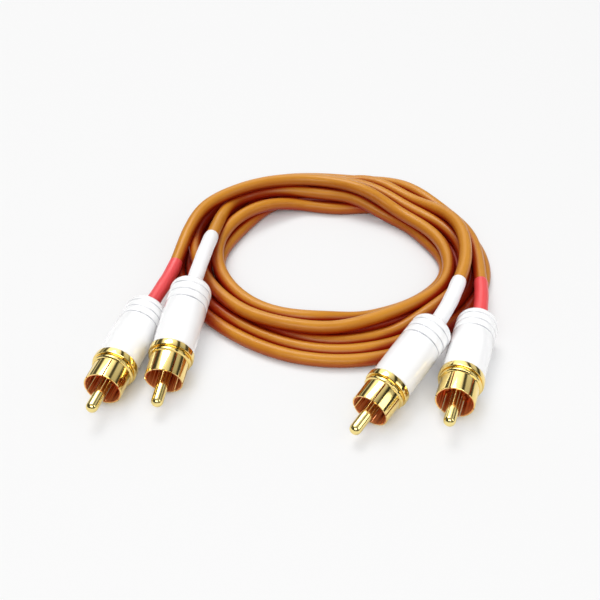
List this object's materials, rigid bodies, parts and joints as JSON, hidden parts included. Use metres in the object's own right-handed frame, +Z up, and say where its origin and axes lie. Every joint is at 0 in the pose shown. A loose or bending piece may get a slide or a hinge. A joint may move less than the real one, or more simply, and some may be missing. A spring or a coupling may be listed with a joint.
{
  "type": "audio cable",
  "caption": "Coiled pair of thin orange-brown phono cables with gold-plated plugs, white enamelled shells and red or white heat-shrink boots.",
  "frame": {"origin": "bottom centre of the box round the four plugs with their boots, on the surface the cable lies on", "axes": "+Z up, -Y towards the plugs' pins and the camera, +X to the right in the picture"},
  "size_m": [0.1131, 0.1171, 0.0164],
  "materials": {
    "gold": "polished gold plate",
    "shell_white": "gloss white enamel",
    "insulator": "amber insulator",
    "boot_red": "red heat-shrink sleeve",
    "boot_white": "white heat-shrink sleeve",
    "lead": "insulated inner lead",
    "jacket": "satin orange-brown cable jacket"
  },
  "bodies": {
    "root": {"body_outer_left": "gold", "pin_outer_left": "gold", "insulator_outer_left": "insulator", "shell_outer_left": "shell_white", "clamp_outer_left": "gold", "lead_outer_left": "lead", "boot_outer_left": "boot_red", "body_inner_left": "gold", "pin_inner_left": "gold", "insulator_inner_left": "insulator", "shell_inner_left": "shell_white", "clamp_inner_left": "gold", "lead_inner_left": "lead", "boot_inner_left": "boot_white", "body_inner_right": "gold", "pin_inner_right": "gold", "insulator_inner_right": "insulator", "shell_inner_right": "shell_white", "clamp_inner_right": "gold", "lead_inner_right": "lead", "boot_inner_right": "boot_white", "body_outer_right": "gold", "pin_outer_right": "gold", "insulator_outer_right": "insulator", "shell_outer_right": "shell_white", "clamp_outer_right": "gold", "lead_outer_right": "lead", "boot_outer_right": "boot_red", "cable_outer": "jacket", "cable_inner": "jacket"}
  },
  "joints": []
}
